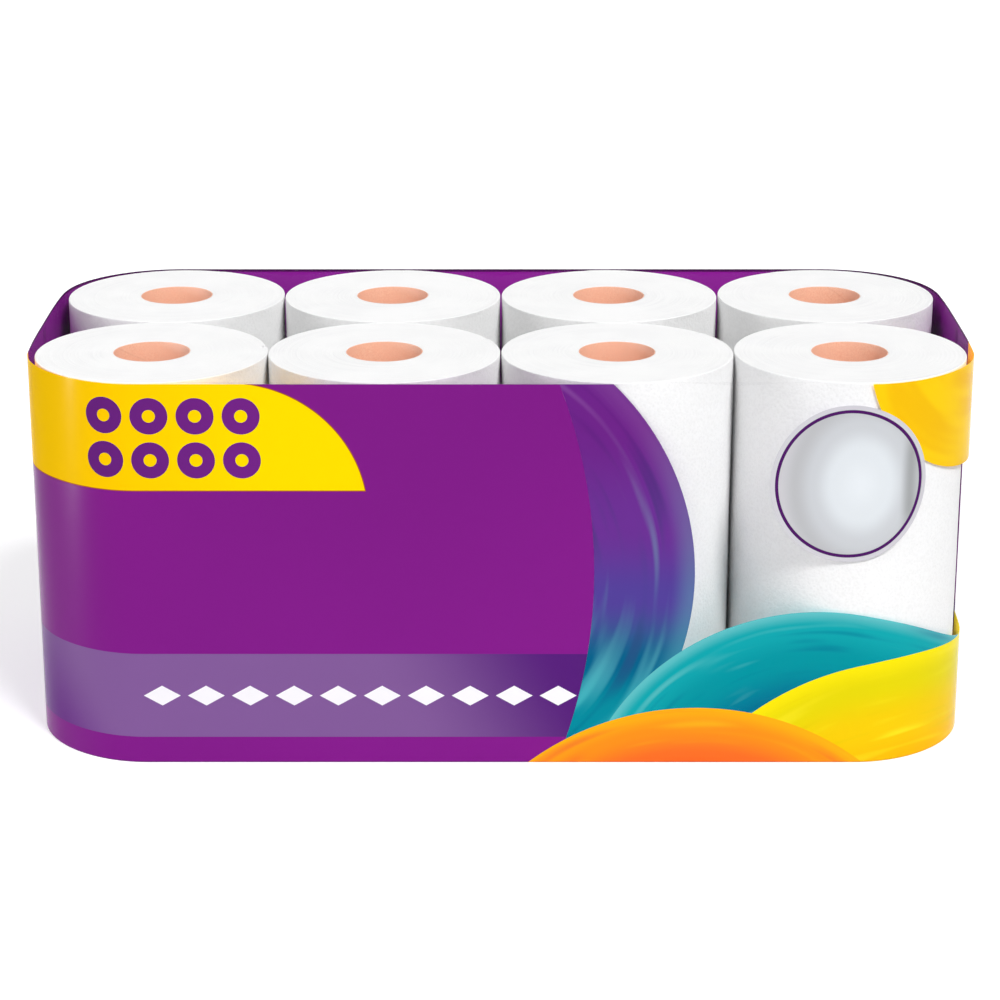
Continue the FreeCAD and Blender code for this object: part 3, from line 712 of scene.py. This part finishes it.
def bow_ends(work, steps=24):
    """Cuts a print mesh into upright strips across each end and lets them follow the film's bow."""
    for sign in (-1, 1):
        for step in range(1, steps):
            y = CORNER_Y * (2 * step / steps - 1)
            faces = [f for f in work.faces if on_end(f.calc_center_median(), sign)]
            cut_faces(work, faces, Vector((0, y, 0)), Vector((0, 1, 0)))
        for vert in work.verts:
            if vert.co.x * sign > CORNER_X:
                vert.co.x += sign * end_bow(vert.co.y)


def round_corners(work, steps=30):
    """Cuts a print mesh into narrow strips round each corner and sets them on the true curve."""
    straight_low, straight_high = FOLD_RADIUS, PACK_TOP - FOLD_RADIUS
    for sign_x in (-1, 1):
        for sign_y in (-1, 1):
            centre = Vector((sign_x * CORNER_X, sign_y * CORNER_Y, 0))
            for step in range(1, steps):
                turn = math.pi / 2 * step / steps
                normal = Vector((-sign_x * math.sin(turn), sign_y * math.cos(turn), 0))
                faces = [f for f in work.faces if in_corner(f.calc_center_median(), sign_x, sign_y)]
                cut_faces(work, faces, centre, normal)
            for vert in work.verts:
                if in_corner(vert.co, sign_x, sign_y) and straight_low < vert.co.z < straight_high:
                    arm = Vector((vert.co.x - centre.x, vert.co.y - centre.y, 0))
                    inside = arm.length < CORNER_RADIUS - INK_THICKNESS * 0.8
                    arm *= (CORNER_RADIUS - INK_THICKNESS * inside) / arm.length
                    vert.co.x, vert.co.y = centre.x + arm.x, centre.y + arm.y


def printed(node, material):
    """A printed field: its solid's outline, moved with the film and shaded as a true curve."""
    work = bmesh.new()
    work.from_mesh(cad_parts[node].data)
    bmesh.ops.remove_doubles(work, verts=work.verts, dist=1e-7)
    round_corners(work)
    for vert in work.verts:
        vert.co.x, vert.co.y = hugged(*vert.co)
    bow_ends(work)
    mesh = bpy.data.meshes.new(f"{node}_ink")
    work.to_mesh(mesh)
    work.free()
    mesh.update()
    normals = [Vector((0, 0, 0))] * len(mesh.loops)
    # faces that look into the pack, on which Ink.plain paints light
    inside = mesh.attributes.new("inside", "FLOAT", "FACE")
    for face in mesh.polygons:
        face.use_smooth = True
        way = outward(face.center)
        facing = face.normal.dot(way)
        inside.data[face.index].value = float(facing < -0.9)
        for loop in face.loop_indices:
            if abs(facing) > 0.9:
                point = mesh.vertices[mesh.loops[loop].vertex_index].co
                normals[loop] = outward(point) * math.copysign(1, facing)
            else:
                normals[loop] = face.normal.copy()
    mesh.normals_split_custom_set([tuple(n) for n in normals])
    piece = smooth_object(f"{node}_ink", mesh, material)
    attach(piece, "root")
    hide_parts(node)


# ---------------------------------------------------------------- film


def bag_loop(inset):
    """Points of the pack's outline, moved inwards, always the same number in the same order."""
    inset = min(inset, FACE_Y - 1e-5)
    radius = max(CORNER_RADIUS - inset, 0)
    half_x, half_y = FACE_X - inset, FACE_Y - inset
    straight_x, straight_y = half_x - radius, half_y - radius
    count_x, count_y = round(2 * CORNER_X / FILM_SPACING), round(2 * CORNER_Y / FILM_SPACING)
    count_arc = round(math.pi / 2 * CORNER_RADIUS / FILM_SPACING)
    points = []
    for turn, away in enumerate(((-1, 0), (0, -1), (1, 0), (0, 1))):
        cx = straight_x if turn in (0, 3) else -straight_x
        cy = straight_y if turn in (0, 1) else -straight_y
        start = turn * math.pi / 2
        for i in range(count_arc):
            a = start + math.pi / 2 * i / count_arc
            points.append((cx + radius * math.cos(a), cy + radius * math.sin(a)))
        a = start + math.pi / 2
        corner = (cx + radius * math.cos(a), cy + radius * math.sin(a))
        length = 2 * straight_x if turn in (0, 2) else 2 * straight_y
        steps = count_x if turn in (0, 2) else count_y
        for i in range(steps):
            gone = length * i / steps
            points.append((corner[0] + away[0] * gone, corner[1] + away[1] * gone))
    return points


def top_sag(x, y):
    """How far the top film lies below its flat: it dips over each core and a little between rolls."""
    depth = 0.0
    nearest = min(math.hypot(x - centre.x, y - centre.y) for centre in ROLL_CENTRES.values())
    bore = CORE_RADIUS - CORE_WALL
    if nearest < bore:
        depth = DIP_DEPTH * (1 - (nearest / bore) ** 2) ** 2
    elif nearest > ROLL_RADIUS:
        depth = SAG_SLOPE * (nearest - ROLL_RADIUS)
    return depth


def bow_share(x):
    """How much of an end's bow the bottom and top films follow: all at the end, none further in."""
    return max(1 - (FACE_X - abs(x)) / CORNER_RADIUS, 0) ** 2


def film_bag():
    """The whole bag as one thin closed skin: bottom, wall, folds and top."""
    skin = INK_THICKNESS + FILM_THICKNESS / 2
    fold = FOLD_RADIUS - skin
    low, high = FILM_THICKNESS / 2, PACK_TOP - FILM_THICKNESS / 2
    flat_insets = list(np.arange(FACE_Y - 1e-4, skin + fold, -FILM_SPACING))
    levels = [(inset, low) for inset in flat_insets]
    for degrees in range(0, 91, FOLD_STEP_DEGREES):
        a = math.radians(degrees)
        levels.append((skin + fold * (1 - math.sin(a)), low + fold * (1 - math.cos(a))))
    for share in np.linspace(0, 1, FILM_LEVELS)[1:-1]:
        levels.append((skin, low + fold + (high - low - 2 * fold) * share))
    for degrees in range(0, 91, FOLD_STEP_DEGREES):
        a = math.radians(degrees)
        levels.append((skin + fold * (1 - math.cos(a)), high - fold * (1 - math.sin(a))))
    levels += [(inset, high) for inset in reversed(flat_insets)]
    rows = []
    for inset, z in levels:
        loop = [hugged(x, y, z) for x, y in bag_loop(inset)]
        loop = [(x + math.copysign(bow_share(x) * end_bow(y), x), y) for x, y in loop]
        on_top = z == high
        rows.append([(x, y, z - top_sag(x, y)) if on_top else (x, y, z) for x, y in loop])
    columns = len(rows[0])
    quads = []
    for j in range(len(rows) - 1):
        for i in range(columns):
            k = (i + 1) % columns
            quads.append((j * columns + i, j * columns + k, (j + 1) * columns + k, (j + 1) * columns + i))
    mesh = bpy.data.meshes.new("film_bag")
    mesh.from_pydata([p for row in rows for p in row], [], quads)
    mesh.polygons.foreach_set("use_smooth", np.ones(len(quads), dtype=bool))
    work = bmesh.new()
    work.from_mesh(mesh)
    bmesh.ops.remove_doubles(work, verts=work.verts, dist=0.3 * MM)
    holes = [e for e in work.edges if e.is_boundary]
    if holes:
        bmesh.ops.holes_fill(work, edges=holes)
    bmesh.ops.recalc_face_normals(work, faces=work.faces)
    work.to_mesh(mesh)
    work.free()
    piece = smooth_object("film_bag", mesh, CLEAR_FILM)
    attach(piece, "root")
    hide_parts("film_wrap")


def end_seals():
    """The printed lap seal down each end, with the ribs that the sealing jaw leaves."""
    half, soft, rib = SEAL_WIDTH / 2, 0.4 * MM, 2 * MM
    low, high = SEAL_MARGIN, PACK_TOP - SEAL_MARGIN
    root, crown = FACE_X - INK_THICKNESS, CAD_BOX[1].x
    section = [(-half, 0), (-half, 0.5), (-half + soft, 1), (half - soft, 1), (half, 0.5), (half, 0)]
    steps_to_a_rib = 6
    rows = round((high - low) / rib) * steps_to_a_rib
    points, quads = [], []
    for side in (-1, 1):
        first = len(points)
        for j in range(rows + 1):
            z = low + (high - low) * j / rows
            ridge = 0.7 + 0.3 * math.cos(2 * math.pi * j / steps_to_a_rib)
            for y, raised in section:
                points.append((side * (root + end_bow(y) + (crown - root) * raised * ridge), y, z))
        width = len(section)
        for j in range(rows):
            row = first + j * width
            for i in range(width):
                k = (i + 1) % width
                quads.append((row + i, row + k, row + width + k, row + width + i))
        quads.append(tuple(first + i for i in range(width)))
        quads.append(tuple(first + rows * width + i for i in range(width)))
    mesh = bpy.data.meshes.new("lap_seals")
    mesh.from_pydata(points, [], quads)
    tidy(mesh)
    piece = smooth_object("lap_seals", mesh, INK_SEAL)
    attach(piece, "root")
    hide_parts("end_seals")


# ---------------------------------------------------------------- studio


def floor():
    """A wide pale floor that keeps the object's shadow and looks white to the camera."""
    bpy.ops.mesh.primitive_plane_add(size=60)
    plane = bpy.context.object
    plane.name = "floor"
    shader = Shader("floor", Base_Color=rgb(222, 222, 224), Roughness=0.9, Specular_IOR_Level=0.05)
    path = shader.add("ShaderNodeLightPath")
    seen = shader.calc("MAXIMUM", path.outputs["Is Camera Ray"], path.outputs["Is Glossy Ray"])
    seen = shader.calc("MAXIMUM", seen, path.outputs["Is Transmission Ray"])
    glow = shader.add("ShaderNodeEmission", {"Color": (1.0, 1.0, 1.0, 1.0)})
    shader.feed(glow.inputs["Strength"], shader.calc("MULTIPLY", seen, FLOOR_GLOW))
    both = shader.add("ShaderNodeAddShader", {0: shader.surface.outputs[0], 1: glow.outputs[0]})
    shader.tree.links.new(both.outputs[0], shader.tree.nodes["Material Output"].inputs[0])
    plane.data.materials.append(shader.material)


def sun(name, strength, heading, elevation, softness):
    """A soft distant lamp. Heading 0 shines from the front and 90 from the right."""
    data = bpy.data.lights.new(name, "SUN")
    data.energy = strength
    data.angle = math.radians(softness)
    lamp = bpy.data.objects.new(name, data)
    lamp.rotation_euler = (math.radians(90 - elevation), 0, math.radians(heading))
    bpy.context.scene.collection.objects.link(lamp)


def strip(name, power, place, target, width, height):
    """An upright soft box that shows only as a streak in glossy film."""
    data = bpy.data.lights.new(name, "AREA")
    data.shape = "RECTANGLE"
    data.size, data.size_y = width, height
    data.energy = power
    lamp = bpy.data.objects.new(name, data)
    lamp.location = place
    lamp.rotation_euler = (Vector(target) - Vector(place)).to_track_quat("-Z", "Y").to_euler()
    lamp.visible_diffuse = False
    lamp.visible_camera = False
    bpy.context.scene.collection.objects.link(lamp)


def studio():
    floor()
    world = bpy.data.worlds.new("studio")
    bpy.context.scene.world = world
    world.use_nodes = True
    world.node_tree.nodes["Background"].inputs["Color"].default_value = (1.0, 1.0, 1.0, 1.0)
    world.node_tree.nodes["Background"].inputs["Strength"].default_value = WORLD_LIGHT
    sun("key", strength=1.96, heading=34, elevation=50, softness=16)
    sun("fill", strength=0.44, heading=-44, elevation=25, softness=50)
    strip(
        "left_strip",
        power=240.0,
        place=(-1.337, -0.314, 0.26),
        target=(-0.3, -0.15, 0.1),
        width=0.06,
        height=0.5,
    )
    bpy.context.scene.view_settings.view_transform = "Standard"


def camera():
    """The photograph's view: straight on to the printed front, from a little above."""
    data = bpy.data.cameras.new("camera")
    data.lens = CAMERA_LENS
    data.sensor_width = 36
    data.clip_end = 100
    eye = bpy.data.objects.new("camera", data)
    eye.location = CAMERA_PLACE
    eye.rotation_euler = (math.radians(90 - CAMERA_DOWN_DEGREES), 0, 0)
    bpy.context.scene.collection.objects.link(eye)
    bpy.context.scene.camera = eye


# ---------------------------------------------------------------- the scene

camera()
studio()

PAPER_SIDE, PAPER_END, PAPERBOARD = paper_side(), paper_end(), paperboard()
CLEAR_FILM, INK_SEAL = clear_film(), ink_seal()

for number, (row, column) in enumerate(ROLLS):
    towel_roll(row, column, tail_degrees=FIRST_TAIL_DEGREES + TAIL_STEP_DEGREES * number)
    core_tube(row, column, turn_degrees=SEAM_STEP_DEGREES * number)

film_bag()
end_seals()

for node, ink, slot in (
    ("print_field", ink_purple(), "ink_purple"),
    ("print_belt", ink_belt(), "ink_belt"),
    ("print_flag", ink_yellow(), "ink_yellow"),
    ("print_roll_marks", ink_mark(), "ink_purple"),
    ("print_lozenges", ink_white(), "ink_white"),
    ("print_crescent", ink_crescent(), "ink_violet"),
    ("print_hill_teal", ink_teal(), "ink_teal"),
    ("print_hill_yellow", ink_lime(), "ink_lime"),
    ("print_hill_orange", ink_orange(), "ink_orange"),
    ("print_corner", ink_amber(), "ink_yellow"),
    ("print_badge", ink_silver(), "ink_silver"),
    ("print_badge_ring", ink_ring(), "ink_purple"),
):
    printed(node, ink)
